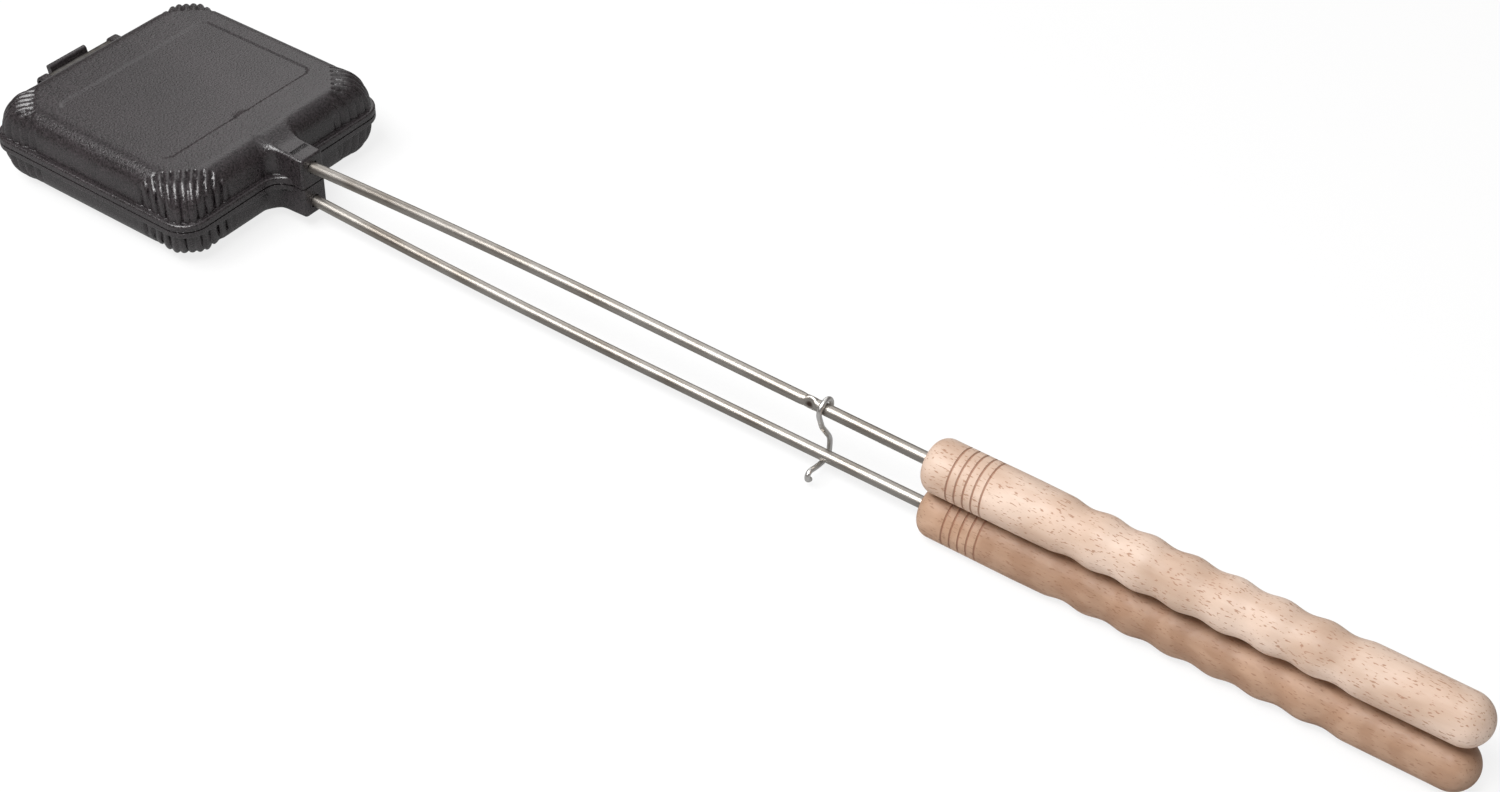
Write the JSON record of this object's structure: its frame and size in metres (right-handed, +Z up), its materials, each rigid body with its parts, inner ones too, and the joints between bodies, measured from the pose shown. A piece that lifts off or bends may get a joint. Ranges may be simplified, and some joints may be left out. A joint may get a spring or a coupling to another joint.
{
  "type": "pie iron",
  "caption": "Long-handled cast-iron sandwich cooker: two square hinged shells with ribbed corners, steel rods, turned wooden handles and a wire latch.",
  "frame": {"origin": "on the ground under the middle of the whole closed iron's box", "axes": "+X from the cooking head towards the handles along the rods, +Y across, +Z up, square to the seam between the two shells"},
  "size_m": [0.7006, 0.126, 0.0454],
  "materials": {
    "cast_iron": "fine sand-cast skin, black-brown, satin sheen on the ribs",
    "pin_steel": "dark mild steel, riveted ends",
    "rod_steel": "drawn bright steel rod, satin",
    "pale_beech": "sanded unvarnished beech, pinkish, short brown flecks",
    "tan_beech": "sanded unvarnished beech, tan, swirled grain",
    "latch_wire": "bright drawn wire"
  },
  "bodies": {
    "lower_half": {"lower_shell": "cast_iron", "lower_rod": "rod_steel", "lower_handle": "tan_beech"},
    "upper_half": {"upper_shell": "cast_iron", "hinge_pin": "pin_steel", "upper_rod": "rod_steel", "upper_handle": "pale_beech"},
    "latch": {"latch_hook": "latch_wire"}
  },
  "joints": [
    {"name": "jaw_hinge", "type": "hinge", "parent": "lower_half", "child": "upper_half", "pos_m": [-0.3437, 0, 0.0277], "axis": [0, -1, 0], "range_deg": [0, 120]},
    {"name": "latch_swing", "type": "hinge", "parent": "upper_half", "child": "latch", "pos_m": [0.0738, 0, 0.03441], "axis": [1, 0, 0], "range_deg": [0, 150]}
  ]
}
